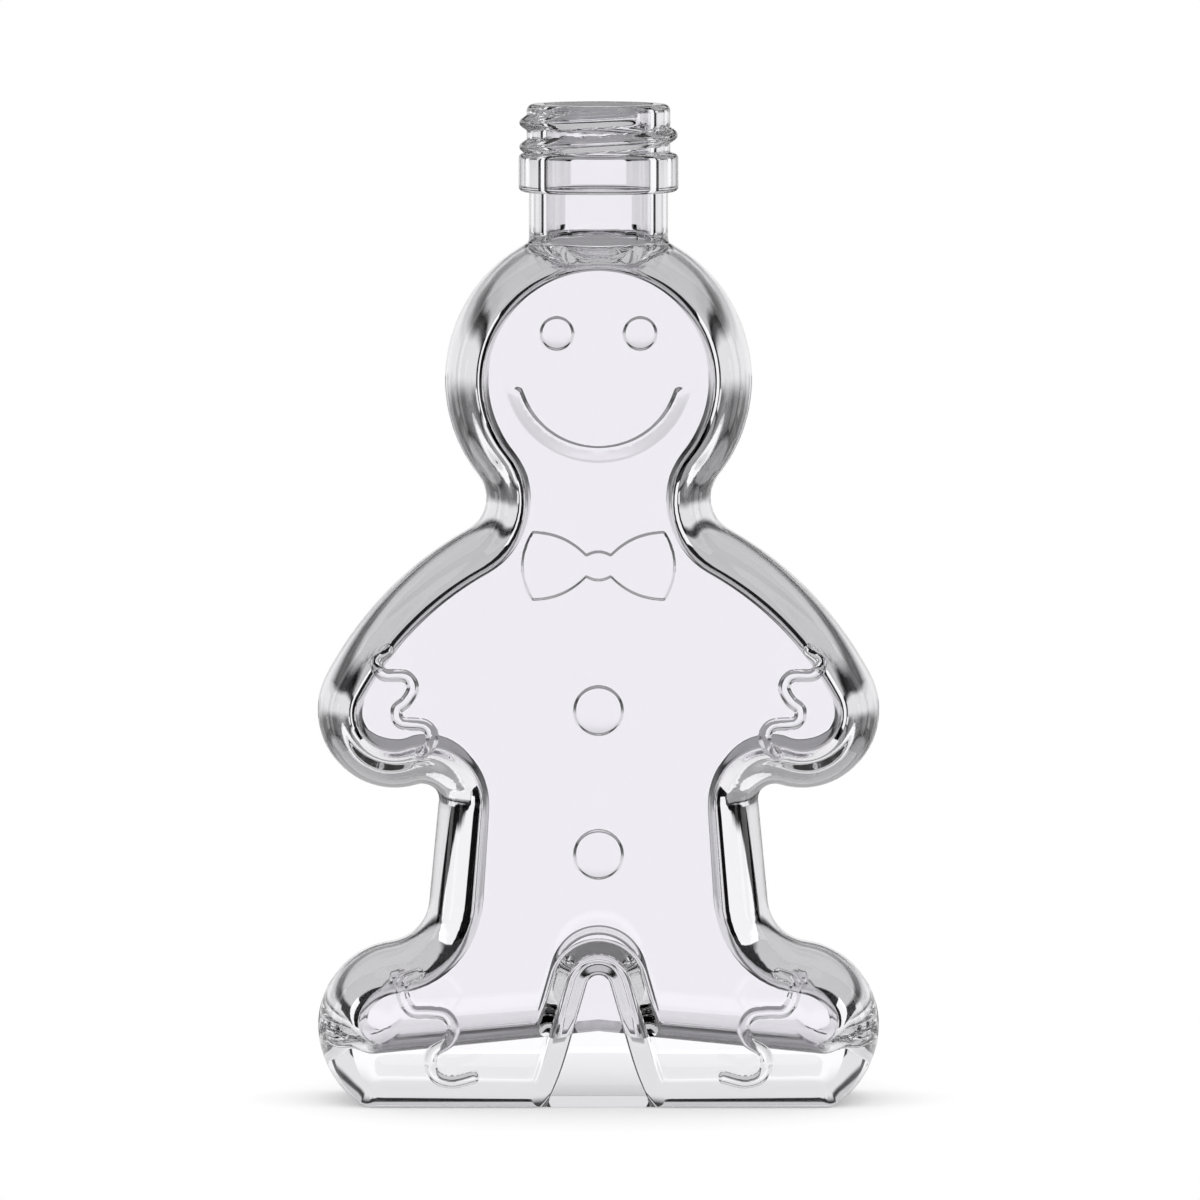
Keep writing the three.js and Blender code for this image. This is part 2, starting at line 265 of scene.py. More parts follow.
def waist_fillet(radius, circle, circle_radius, circle_is_above):
    """Centre of a fillet that touches the waist line from outside and a circle above or below it."""
    outward = np.array([math.cos(WAIST_FLARE), math.sin(WAIST_FLARE)])
    downward = np.array([outward[1], -outward[0]])
    start = np.array([WAIST_HALF_WIDTH, HAND_HEIGHT - HAND_RADIUS]) + radius * outward
    offset = start - circle
    middle = -offset @ downward
    reach = math.sqrt((circle_radius + radius) ** 2 - offset @ offset + middle**2)
    return start + downward * (middle + reach if circle_is_above else middle - reach)


# Centres of the arcs of the right half of the figure, and the angles at which they meet
HEAD = np.array([0, HEAD_HEIGHT])
HAND = np.array([WIDTH / 2 - HAND_RADIUS, HAND_HEIGHT])
ARM = polar(HAND, HAND_RADIUS - ARM_RADIUS, ARM_MEETS_HAND)
THROAT = crossing(ARM, ARM_RADIUS + THROAT_RADIUS, HEAD, HEAD_RADIUS + THROAT_RADIUS)
FOOT = np.array([WIDTH / 2 - FOOT_RADIUS, FOOT_RADIUS - SOLE_CUT])
ARMPIT = waist_fillet(ARMPIT_RADIUS, HAND, HAND_RADIUS, True)
HIP = waist_fillet(HIP_RADIUS, FOOT, FOOT_RADIUS, False)
HEAD_ANGLE = angle_to(HEAD, THROAT)
ARM_ANGLE = angle_to(ARM, THROAT)
HAND_ANGLE = angle_to(HAND, ARMPIT)
WAIST_ANGLE = math.pi + WAIST_FLARE
FOOT_ANGLE = angle_to(FOOT, HIP)


# Places in the list of arcs: those that curve inwards, the hip among them, and the first of the foot's two
CURVED_IN = (1, 4, 5)
HIP_ARC = 5
FOOT_ARC = 6


def arcs(inset, sole, corner):
    """Arcs of the right half of the outline, drawn in by an inset: centre, radius, first and last angle."""
    foot_radius = FOOT_RADIUS - inset
    corner_drop = FOOT[1] - sole - corner
    corner_centre = FOOT + np.array([math.sqrt((foot_radius - corner) ** 2 - corner_drop**2), -corner_drop])
    corner_angle = angle_to(FOOT, corner_centre)
    return (
        (HEAD, HEAD_RADIUS - inset, math.pi / 2, HEAD_ANGLE),
        (THROAT, THROAT_RADIUS + inset, HEAD_ANGLE + math.pi, ARM_ANGLE + math.pi),
        (ARM, ARM_RADIUS - inset, ARM_ANGLE, ARM_MEETS_HAND),
        (HAND, HAND_RADIUS - inset, ARM_MEETS_HAND, HAND_ANGLE),
        (ARMPIT, ARMPIT_RADIUS + inset, HAND_ANGLE + math.pi, WAIST_ANGLE),
        (HIP, HIP_RADIUS + inset, WAIST_ANGLE, FOOT_ANGLE + math.pi),
        (FOOT, foot_radius, FOOT_ANGLE, corner_angle),
        (corner_centre, corner, corner_angle, -math.pi / 2),
    )


def line(start, end, count):
    """Points along a straight line, both ends among them."""
    return start + np.linspace(0, 1, count + 1)[:, None] * (end - start)


def border(side_inset, sole, corner, widths, rise):
    """Matching points on the silhouette and on the panel's edge, and how flat the underside is at each.

    The last two widths belong to the foot and its sole. The rise lifts the underside towards the middle.
    """
    outer = arcs(0, 0, SOLE_CORNER)
    rim, panel, flat = [], [], []
    for index, (centre, radius, first, last) in enumerate(arcs(side_inset, sole, corner)):
        turn = abs(last - first)
        cells = math.ceil(max(turn * outer[index][1] / CELL, turn / ARC_STEP))
        angles = np.linspace(first, last, cells + 1)
        ray = np.stack([np.cos(angles), np.sin(angles)], axis=1)
        rim.append(centre + radius * ray)
        if index < FOOT_ARC:
            start = index + 1 if index == HIP_ARC else index
            width = np.linspace(widths[start], widths[start + 1], cells + 1)[:, None] - side_inset
            bulges = index not in CURVED_IN
            panel.append(rim[-1] - width * ray if bulges else rim[-1] + width * ray)
            flat.append(np.zeros(cells + 1))
        else:
            flat.append(np.clip(-ray[:, 1], 0, 1) ** SOLE_TURN)
            width = widths[-2] + (widths[-1] - widths[-2]) * flat[-1]
            panel.append(FOOT + (FOOT_RADIUS - width)[:, None] * ray)
    waist_cells = math.ceil(math.dist(rim[HIP_ARC - 1][-1], rim[HIP_ARC][0]) / CELL)
    for runs in (rim, panel):
        runs.insert(HIP_ARC, line(runs[HIP_ARC - 1][-1], runs[HIP_ARC][0], waist_cells))
    flat.insert(HIP_ARC, np.zeros(waist_cells + 1))
    sole_cells = math.ceil(outer[-1][0][0] / CELL)
    for runs in (rim, panel):
        side, low = runs[-1][-1]
        runs.append(line(runs[-1][-1], np.array([0, low + rise * side]), sole_cells))
    flat.append(np.ones(sole_cells + 1))
    return whole(rim, (-1, 1)), whole(panel, (-1, 1)), whole(flat, 1)


def whole(runs, mirror):
    """One closed line from the runs of the right half and their mirror image."""
    right = np.concatenate([run[:-1] for run in runs] + [runs[-1][-1:]])
    return np.concatenate([right, right[-2:0:-1] * mirror])


def smooth_least(a, b, ease):
    """Lesser of two values, with the corner between them eased."""
    share = np.clip(0.5 + 0.5 * (b - a) / ease, 0, 1)
    return a * share + b * (1 - share) - ease * share * (1 - share)


def arch_ring(out, depth):
    """Outline of the arch at a distance outside its floor, at a depth in front of the middle plane."""
    radius = ARCH_CROWN_RADIUS + out
    lean = math.atan2(ARCH_HALF_WIDTH - ARCH_CROWN_RADIUS, ARCH_CROWN_HEIGHT)
    turns = np.linspace(lean, math.pi - lean, ARCH_CROWN_POINTS)
    crown = [polar((0, ARCH_CROWN_HEIGHT), radius, turn) for turn in turns]
    side = []
    for z in np.linspace(ARCH_FLARE_HEIGHT, -ARCH_OVERRUN, ARCH_POINTS):
        flare = ARCH_FLARE * (1 - (z + ARCH_OVERRUN) / (ARCH_FLARE_HEIGHT + ARCH_OVERRUN)) ** 2
        side.append(((radius + (ARCH_CROWN_HEIGHT - z) * math.sin(lean)) / math.cos(lean) + flare, z))
    outline = np.array([*side[::-1], *crown, *[(-x, z) for x, z in side]])
    return np.insert(outline, 1, -depth, axis=1)


def arch_rings(face, floor, gap, run, ease):
    """Rings of the arch from its floor over a sloped run out past the face.

    The floor starts a gap outside the arch's outline.
    """
    slope = (face - floor) / run
    reach = ease / slope
    start = np.linspace(-reach, reach, ARCH_POINTS)
    end = np.linspace(run - reach, run + ARCH_LIP_SHARE * reach, ARCH_POINTS)
    out = np.concatenate([start, end])
    wall = floor + out * slope
    depth = smooth_least(-smooth_least(-wall, -floor, ease), face, ease)
    lip = (depth[-1] - depth[-2]) / (out[-1] - out[-2]) * ARCH_OVERRUN
    out = np.append(out, [out[-1] + ARCH_OVERRUN, out[-1] + ARCH_OVERRUN])
    depth = np.append(depth, [depth[-1] + lip, face + FACE_OVERRUN])
    return [arch_ring(gap + o, d) for o, d in zip(out, depth)]


def edit(obj):
    """Opens one object alone in edit mode."""
    bpy.ops.object.select_all(action="DESELECT")
    obj.select_set(True)
    bpy.context.view_layer.objects.active = obj
    bpy.ops.object.mode_set(mode="EDIT")


def object_mode():
    """Leaves edit mode."""
    bpy.ops.object.mode_set(mode="OBJECT")


def positions(obj):
    """Places of an object's vertices as rows of x, y and z."""
    flat = np.empty(len(obj.data.vertices) * 3)
    obj.data.vertices.foreach_get("co", flat)
    return flat.reshape(-1, 3)


def place(obj, points):
    """Moves an object's vertices to the given rows."""
    obj.data.vertices.foreach_set("co", np.ascontiguousarray(points).ravel())
    obj.data.update()


def select_faces(obj, chosen):
    """Selects the faces, in edit mode, whose place in the list is true."""
    bpy.ops.mesh.select_mode(type="FACE")
    bpy.ops.mesh.select_all(action="DESELECT")
    mesh = bmesh.from_edit_mesh(obj.data)
    for face, wanted in zip(mesh.faces, chosen):
        face.select_set(bool(wanted))
    bmesh.update_edit_mesh(obj.data)


def section(width, height, crease, soft, count):
    """Section of a border from the panel's edge to the middle plane.

    It is given as distances from the silhouette and depths. The side is part of an ellipse that meets the
    panel at the crease, and the whole is softened by a weighted mean.
    """
    slope = math.tan(crease)
    share = slope * width / (height - slope * width)
    turn = np.linspace(0, math.acos(share), SECTION_POINTS)
    across = width / (1 - share) * (1 - np.cos(turn))
    depth = height / math.sin(turn[-1]) * np.sin(turn)
    flat = np.linspace(0, 2 * SOFT_REACH * soft, SECTION_POINTS // 2)[1:]
    across = np.append(across, width + flat)
    depth = np.append(depth, np.full_like(flat, height))
    run = np.append(0, np.cumsum(np.hypot(np.diff(across), np.diff(depth))))
    even = np.arange(0, run[-1], SECTION_STEP)
    across, depth = np.interp(even, run, across), np.interp(even, run, depth)
    tail = round(SOFT_REACH * soft / SECTION_STEP)
    weight = np.exp(-0.5 * (np.arange(-tail, tail + 1) * SECTION_STEP / soft) ** 2)
    weight /= weight.sum()
    across = np.concatenate([across[1:tail + 1][::-1], across])
    depth = np.concatenate([-depth[1:tail + 1][::-1], depth])
    across, depth = np.convolve(across, weight, "valid"), np.convolve(depth, weight, "valid")
    across -= across[0]
    heading = np.unwrap(np.arctan2(np.gradient(depth), np.gradient(across)))
    pace = np.abs(np.gradient(heading)) / SECTION_TURN
    pace += np.hypot(np.gradient(across), np.gradient(depth)) / SECTION_RUN
    along = np.append(0, np.cumsum(pace)[:-1])
    picks = np.linspace(along[-1], 0, count + 1)
    return np.interp(picks, along, across), np.interp(picks, along, depth)


def border_rings(width, flat, height, crease, soft, count):
    """Rings of a border from the panel's edge to the middle plane.

    Each has the share of the width that is left, and the depth, at each place.
    """
    sizes = np.linspace(width.min(), width.max(), SECTION_SIZES)
    sections = [section(size - SOFT_REACH * soft, height, crease, soft, count) for size in sizes]
    rings = []
    foot = flat * SOLE_SHARE * height
    for step in range(1, count + 1):
        across = np.interp(width, sizes, [part[0][step] / part[0][0] for part in sections])
        depth = np.interp(width, sizes, [part[1][step] for part in sections])
        depth = np.where(step < count, depth, 0)
        rings.append((across, foot + depth * (1 - foot / height)))
    rings.append((np.zeros_like(width), np.zeros_like(width)))
    return rings


def filled(name, ring):
    """Flat face with the given corners, opened in edit mode."""
    bpy.ops.object.select_all(action="DESELECT")
    bpy.ops.mesh.primitive_circle_add(vertices=len(ring))
    obj = bpy.context.object
    obj.name = name
    place(obj, ring)
    edit(obj)
    bpy.ops.mesh.select_all(action="SELECT")
    bpy.ops.mesh.edge_face_add()
    return obj


def grow(obj, ring, rings):
    """Extrudes the open edge of a mesh, which is a ring, through further rings of as many points."""
    bpy.ops.mesh.select_mode(type="EDGE")
    bpy.ops.mesh.select_all(action="DESELECT")
    mesh = bmesh.from_edit_mesh(obj.data)
    for edge in mesh.edges:
        edge.select_set(edge.is_boundary)
    bmesh.update_edit_mesh(obj.data)
    for points in rings:
        tree = kdtree.KDTree(len(ring))
        for index, point in enumerate(ring):
            tree.insert(point, index)
        tree.balance()
        bpy.ops.mesh.extrude_region_move()
        mesh = bmesh.from_edit_mesh(obj.data)
        for vertex in mesh.verts:
            if vertex.select:
                vertex.co = points[tree.find(vertex.co)[1]]
        bmesh.update_edit_mesh(obj.data)
        ring = points


def cut_cells():
    """Cuts the selected face into square cells."""
    bpy.ops.mesh.hide(unselected=True)
    for step in range(math.ceil(CROWN / CELL)):
        side = (step + 0.5) * CELL
        for cut, normal in ((side, (1, 0, 0)), (-side, (1, 0, 0)), (step * CELL, (0, 0, 1))):
            bpy.ops.mesh.select_all(action="SELECT")
            bpy.ops.mesh.bisect(plane_co=(cut, 0, cut), plane_no=normal)
    bpy.ops.mesh.select_all(action="SELECT")
    bpy.ops.mesh.remove_doubles(threshold=SLIVER)
    bpy.ops.mesh.reveal(select=False)


def figure_half(name, in_cells, side_inset, sole, corner, widths, rise, height, crease, soft, count):
    """Front half of the figure: a flat panel, maybe cut into cells, and a border down to the middle plane."""
    rim, panel, flat = border(side_inset, sole, corner, np.array(widths) + SOFT_REACH * soft, rise)
    start = np.insert(panel, 1, -height, axis=1)
    half = filled(name, start)
    bpy.ops.mesh.inset(thickness=PANEL_MARGIN)
    if in_cells:
        cut_cells()
    width = np.hypot(*(panel - rim).T)
    rings = []
    for left, depth in border_rings(width, flat, height, crease, soft, count):
        spot = rim + (panel - rim) * left[:, None]
        rings.append(np.insert(spot, 1, -depth, axis=1))
    grow(half, start, rings)
    object_mode()
    return half


def arch_press(name, face, *shape):
    """Solid that presses the arch into the front."""
    first, *rings = arch_rings(face, *shape)
    press = filled(name, first)
    grow(press, first, rings)
    bpy.ops.mesh.edge_face_add()
    bpy.ops.mesh.select_all(action="SELECT")
    bpy.ops.mesh.normals_make_consistent(inside=False)
    object_mode()
    return press


def flip(obj):
    """Turns an object over to the other side of the middle plane."""
    place(obj, positions(obj) * (1, -1, 1))
    edit(obj)
    bpy.ops.mesh.select_all(action="SELECT")
    bpy.ops.mesh.flip_normals()
    object_mode()
    return obj


def mirrored(obj):
    """Copy of an object on the other side of the middle plane."""
    bpy.ops.object.select_all(action="DESELECT")
    obj.select_set(True)
    bpy.context.view_layer.objects.active = obj
    bpy.ops.object.duplicate()
    return flip(bpy.context.object)


def closed(front, back, name):
    """Joins two halves into one closed shell."""
    bpy.ops.object.select_all(action="DESELECT")
    front.select_set(True)
    back.select_set(True)
    bpy.context.view_layer.objects.active = front
    bpy.ops.object.join()
    edit(front)
    bpy.ops.mesh.select_all(action="SELECT")
    bpy.ops.mesh.remove_doubles(threshold=MERGE)
    bpy.ops.mesh.normals_make_consistent(inside=False)
    object_mode()
    front.name = name
    return front


def curve_through(points, steps):
    """Smooth line through points, as a Catmull-Rom curve."""
    padded = np.vstack([2 * points[0] - points[1], points, 2 * points[-1] - points[-2]])
    share = np.linspace(0, 1, steps, endpoint=False)[:, None]
    runs = []
    for a, b, c, d in zip(padded, padded[1:], padded[2:], padded[3:]):
        cubic = -a + 3 * b - 3 * c + d
        square = 2 * a - 5 * b + 4 * c - d
        runs.append(0.5 * (2 * b + (c - a) * share + square * share**2 + cubic * share**3))
    return np.vstack(runs + [points[-1:]])


def bend(start, middle, end, steps):
    """Quadratic curve from a start to an end, pulled towards a middle point."""
    share = np.linspace(0, 1, steps, endpoint=False)[:, None]
    start, middle, end = np.array(start), np.array(middle), np.array(end)
    return (1 - share) ** 2 * start + 2 * share * (1 - share) * middle + share**2 * end


def bow_outline():
    """Closed outline of the bow tie."""
    runs = []
    for side in (1, -1):
        top, low = BOW_HEIGHT + side * BOW_HALF_HEIGHT, BOW_HEIGHT - side * BOW_HALF_HEIGHT
        neck_top = BOW_HEIGHT + side * BOW_NECK_HALF_HEIGHT
        neck_low = BOW_HEIGHT - side * BOW_NECK_HALF_HEIGHT
        swell, corner, neck = side * BOW_SWELL_X, side * BOW_CORNER_X, side * BOW_NECK_X
        bulge = side * (2 * BOW_HALF_WIDTH - BOW_CORNER_X)
        knot = BOW_HEIGHT - side * (2 * BOW_KNOT_HALF_HEIGHT - BOW_NECK_HALF_HEIGHT)
        runs.append(bend((neck, neck_top), (swell, top), (corner, top), CURVE_STEPS))
        runs.append(bend((corner, top), (bulge, BOW_HEIGHT), (corner, low), CURVE_STEPS))
        runs.append(bend((corner, low), (swell, low), (neck, neck_low), CURVE_STEPS))
        runs.append(bend((neck, neck_low), (0, knot), (-neck, neck_low), CURVE_STEPS))
    return np.vstack(runs)


def line_distance(x, z, points, is_closed=False):
    """Distance from places to a line of points."""
    ends = np.roll(points, -1, axis=0) if is_closed else points[1:]
    nearest = np.full_like(x, np.inf)
    for (start_x, start_z), (end_x, end_z) in zip(points, ends):
        run_x, run_z = end_x - start_x, end_z - start_z
        share = ((x - start_x) * run_x + (z - start_z) * run_z) / (run_x**2 + run_z**2)
        share = np.clip(share, 0, 1)
        gap = np.hypot(x - start_x - share * run_x, z - start_z - share * run_z)
        nearest = np.minimum(nearest, gap)
    return nearest


def inside_of(x, z, points):
    """Which places lie inside a closed line of points."""
    within = np.zeros(len(x), dtype=bool)
    for (start_x, start_z), (end_x, end_z) in zip(points, np.roll(points, -1, axis=0)):
        spans = (start_z > z) != (end_z > z)
        rise = end_z - start_z if end_z != start_z else 1
        within ^= spans & (x < (end_x - start_x) * (z - start_z) / rise + start_x)
    return within


def step_up(signed, run):
    """Share of a step's height by distance inside its edge, over a short run."""
    share = np.clip(signed / run, 0, 1)
    return share**2 * (3 - 2 * share)


BOW = bow_outline()
SMILE_ANGLES = np.linspace(-SMILE_ENDS, SMILE_ENDS - math.pi, SMILE_POINTS)
SMILE = np.stack([np.cos(SMILE_ANGLES), np.sin(SMILE_ANGLES)], axis=1) * SMILE_RADIUS + (0, SMILE_HEIGHT)
CUFFS = [
    curve_through(np.array(route) + centre, CUFF_STEPS)
    for centre, route in ((HAND, ARM_CUFF), (FOOT, LEG_CUFF))
]
DOMES = [
    (-EYE_SPACING / 2, EYE_HEIGHT, EYE_RADIUS, EYE_RISE),
    (EYE_SPACING / 2, EYE_HEIGHT, EYE_RADIUS, EYE_RISE),
    (0, BUTTON_HEIGHTS[0], BUTTON_RADIUS, BUTTON_RISE),
    (0, BUTTON_HEIGHTS[1], BUTTON_RADIUS, BUTTON_RISE),
]


def relief(x, z):
    """How far the raised features stand proud of the front, and how near the closest edge of one is."""
    height = np.zeros_like(x)
    near = np.full_like(x, np.inf)
    for dome_x, dome_z, radius, rise in DOMES:
        inside = radius - np.hypot(x - dome_x, z - dome_z)
        swell = rise * np.maximum(1 - (1 - np.maximum(inside, 0) / radius) ** 2, 0)
        height = np.maximum(height, EDGE_STEP * step_up(inside, EDGE_RUN) + swell)
        near = np.minimum(near, np.abs(inside - EDGE_RUN / 2))
    gap = line_distance(x, z, SMILE)
    inside = SMILE_RIB_RADIUS - gap
    lean = np.clip((np.hypot(x, z - SMILE_HEIGHT) - SMILE_RADIUS) / SMILE_RIB_RADIUS, -1, 1)
    fade = 1 - SMILE_FADE * np.clip((SMILE_HEIGHT - z) / SMILE_RADIUS, 0, 1) ** 2
    below_end = SMILE_HEIGHT - SMILE_RADIUS * math.sin(SMILE_ENDS) + SMILE_RIB_RADIUS / 2 - z
    fade *= step_up(below_end, SMILE_RIB_RADIUS)
    swell = SMILE_RISE * fade * step_up(inside, SMILE_RUN) * (1 - lean) / 2
    height = np.maximum(height, SMILE_STEP * step_up(inside, EDGE_RUN) + swell)
    near = np.minimum(near, np.abs(inside - EDGE_RUN / 2))
    gap = line_distance(x, z, BOW, True)
    inside = np.where(inside_of(x, z, BOW), gap, -gap)
    height = np.maximum(height, BOW_RISE * step_up(inside, EDGE_RUN))
    near = np.minimum(near, np.abs(inside - EDGE_RUN / 2))
    for cuff in CUFFS:
        inside = CUFF_RIB_RADIUS - line_distance(np.abs(x), z, cuff)
        swell = CUFF_RISE * np.maximum(1 - (1 - np.maximum(inside, 0) / CUFF_RIB_RADIUS) ** 2, 0)
        height = np.maximum(height, EDGE_STEP * step_up(inside, EDGE_RUN) + swell)
        near = np.minimum(near, np.abs(inside - EDGE_RUN / 2))
    return height, near


def faces_near(obj, margin):
    """Which faces of the front lie close to the edge of a raised feature, and their corner counts."""
    mesh = obj.data
    centres = np.empty(len(mesh.polygons) * 3)
    mesh.polygons.foreach_get("center", centres)
    x, y, z = centres.reshape(-1, 3).T
    corners = np.empty(len(mesh.polygons), dtype=int)
    mesh.polygons.foreach_get("loop_total", corners)
    return (relief(x, z)[1] < margin) & (y < FRONT_LIMIT), corners


def refine(obj, margin):
    """Halves the faces close to the raised features, after those with many corners are cut to triangles."""
    chosen, corners = faces_near(obj, margin)
    edit(obj)
    select_faces(obj, chosen & (corners > 4))
    bpy.ops.mesh.quads_convert_to_tris(quad_method="BEAUTY", ngon_method="BEAUTY")
    object_mode()
    chosen, _ = faces_near(obj, margin)
    edit(obj)
    select_faces(obj, chosen)
    bpy.ops.mesh.subdivide(number_cuts=1)
    object_mode()


def raise_relief(obj):
    """Lifts the raised features along the surface."""
    points = positions(obj)
    normals = np.empty(len(points) * 3)
    obj.data.vertex_normals.foreach_get("vector", normals)
    normals = normals.reshape(-1, 3)
    normals *= np.where(normals[:, 1:2] > 0, -1, 1)
    height, _ = relief(points[:, 0], points[:, 2])
    lift = np.where(points[:, 1] < FRONT_LIMIT, height, 0)
    place(obj, points + lift[:, None] * normals)


def chain(points):
    """Open line of edges in the plane y = 0, drawn from its first point on."""
    bpy.ops.object.select_all(action="DESELECT")
    bpy.ops.mesh.primitive_plane_add()
    obj = bpy.context.object
    edit(obj)
    bpy.ops.mesh.select_mode(type="VERT")
    bpy.ops.mesh.select_all(action="SELECT")
    bpy.ops.mesh.merge(type="CENTER")
    bpy.ops.transform.translate(value=(points[0][0], 0, points[0][1]))
    for (x, z), (next_x, next_z) in zip(points, points[1:]):
        bpy.ops.mesh.extrude_region_move(TRANSFORM_OT_translate={"value": (next_x - x, 0, next_z - z)})
    return obj


def turned(name, profile):
    """Solid of revolution about the bottle's axis, from points given as radius and height."""
    obj = chain(profile)
    obj.name = name
    bpy.ops.mesh.select_all(action="SELECT")
    bpy.ops.mesh.spin(steps=NECK_SIDES, angle=2 * math.pi, center=(0, 0, 0), axis=(0, 0, 1))
    bpy.ops.mesh.select_all(action="SELECT")
    bpy.ops.mesh.remove_doubles(threshold=MERGE)
    bpy.ops.mesh.normals_make_consistent(inside=False)
    object_mode()
    return obj


def arc_profile(centre, radius, first, last, steps):
    """Points of an arc in a profile, angles in degrees."""
    angles = np.radians(np.linspace(first, last, steps + 1))
    return [(centre[0] + radius * math.cos(a), centre[1] + radius * math.sin(a)) for a in angles]


def neck_profile():
    """Outside of the neck, the locking ring, the finish wall and the lip."""
    low = CROWN - NECK_DEPTH
    ring_top = RIM - RING_DROP
    ring_low = ring_top - RING_HEIGHT
    foot = NECK_RADIUS + NECK_FILLET
    foot_height = HEAD_HEIGHT + math.sqrt(HEAD_RADIUS**2 - foot**2) + NECK_FILLET
    ring_centre = RING_RADIUS - RING_EASE
    root = np.linspace(low, foot_height - NECK_FILLET, ROUND_STEPS)
    wall = np.linspace(foot_height + NECK_WALL_START, ring_low, NECK_STEPS)
    finish = np.linspace(ring_top + FINISH_MARGIN, RIM - LIP_RADIUS, FINISH_POINTS)
    return [
        (0, low),
        *((foot, z) for z in root),
        *arc_profile((foot, foot_height), NECK_FILLET, -100, -180, NECK_STEPS),
        *((NECK_RADIUS, z) for z in wall),
        *arc_profile((ring_centre, ring_low + RING_EASE), RING_EASE, -90, 0, ROUND_STEPS),
        *arc_profile((ring_centre, ring_top - RING_EASE), RING_EASE, 0, 90, ROUND_STEPS),
        *((FINISH_RADIUS, z) for z in finish),
        *arc_profile((FINISH_RADIUS - LIP_RADIUS, RIM - LIP_RADIUS), LIP_RADIUS, 15, 90, ROUND_STEPS),
        (0, RIM),
    ]


def raise_thread(obj):
    """Lifts the screw thread out of the finish wall."""
    points = positions(obj)
    x, y, z = points.T
    radius = np.hypot(x, y)
    turn = (THREAD_START - np.arctan2(y, x)) / (2 * math.pi) % 1
    height = np.zeros_like(radius)
    for turns in (turn, turn + 1):
        runout = np.clip(np.minimum(turns, THREAD_TURNS - turns) / THREAD_RUNOUT, 0, 1)
        gap = (z - (RIM - THREAD_DROP - THREAD_PITCH * turns)) / THREAD_HALF_WIDTH
        height = np.maximum(height, THREAD_RISE * np.sqrt(runout) * np.maximum(1 - gap**2, 0))
    on_wall = (radius > FINISH_RADIUS - LIP_RADIUS) & (z > RIM - RING_DROP + FINISH_MARGIN / 2)
    factor = np.where(on_wall, (radius + height) / np.maximum(radius, 1), 1)
    points[:, 0] *= factor
    points[:, 1] *= factor
    place(obj, points)


def bore_profile():
    """Way in through the neck, eased at the rim."""
    low = CROWN - NECK_DEPTH
    heights = np.linspace(low, RIM - BORE_EASE, BORE_POINTS)
    return [
        (0, low),
        *((BORE_RADIUS, z) for z in heights),
        *arc_profile((BORE_RADIUS + BORE_EASE, RIM - BORE_EASE), BORE_EASE, 165, 90, ROUND_STEPS - 1),
        (BORE_RADIUS + BORE_EASE, RIM + RIM_OVERRUN),
        (0, RIM + RIM_OVERRUN),
    ]


def combine(obj, other, operation):
    """Joins another solid to an object, or cuts it away."""
    bpy.ops.object.select_all(action="DESELECT")
    obj.select_set(True)
    bpy.context.view_layer.objects.active = obj
    boolean = obj.modifiers.new("combine", "BOOLEAN")
    boolean.operation = operation
    boolean.object = other
    boolean.solver = "MANIFOLD"
    bpy.ops.object.modifier_apply(modifier=boolean.name)
    bpy.data.objects.remove(other)


def neck_junction(radius, drop):
    """Test for places close to where the neck runs into the head."""
    def near(co):
        aside = abs(math.hypot(co.x, co.y) - radius)
        top = HEAD_HEIGHT + math.sqrt(max((HEAD_RADIUS - drop) ** 2 - co.x**2, 0))
        return aside < JUNCTION_SIDE and top - JUNCTION_BELOW < co.z < top + JUNCTION_ABOVE
    return near


def calm_shading(obj, near, reach):
    """Gives the places that a test picks an even shading, each from the faces within a reach of it."""
    mesh = obj.data
    faces = kdtree.KDTree(len(mesh.polygons))
    for face in mesh.polygons:
        faces.insert(face.center, face.index)
    faces.balance()
    normals = [corner.vector.copy() for corner in mesh.corner_normals]
    evened = {}
    for vertex in mesh.vertices:
        if near(vertex.co):
            total = Vector()
            for _, index, gap in faces.find_range(vertex.co, reach):
                face = mesh.polygons[index]
                total += face.normal * face.area * (1 - (gap / reach) ** 2)
            evened[vertex.index] = total.normalized()
    for corner in mesh.loops:
        if corner.vertex_index in evened:
            normals[corner.index] = evened[corner.vertex_index]
    mesh.normals_split_custom_set(normals)


def press_arch(obj, face, *shape):
    """Presses the arch into both faces of a closed figure, with a crisp line where it starts."""
    front = arch_press("arch", face, *shape)
    back = mirrored(front)
    combine(obj, front, "DIFFERENCE")
    combine(obj, back, "DIFFERENCE")
    edit(obj)
    bpy.ops.mesh.select_mode(type="EDGE")
    bpy.ops.mesh.select_all(action="DESELECT")
    mesh = bmesh.from_edit_mesh(obj.data)
    for edge in mesh.edges:
        depths = [abs(side.calc_center_median().y) for side in edge.link_faces]
        on_face = [abs(depth - face) < FACE_MARGIN for depth in depths]
        middle = (edge.verts[0].co + edge.verts[1].co) / 2
        at_face = abs(middle.y) > face - FACE_MARGIN and abs(middle.x) < FOOT[0] / 2
        edge.select_set(len(set(on_face)) == 2 and bool(at_face))
    bmesh.update_edit_mesh(obj.data)
    bpy.ops.mesh.mark_sharp()
    object_mode()


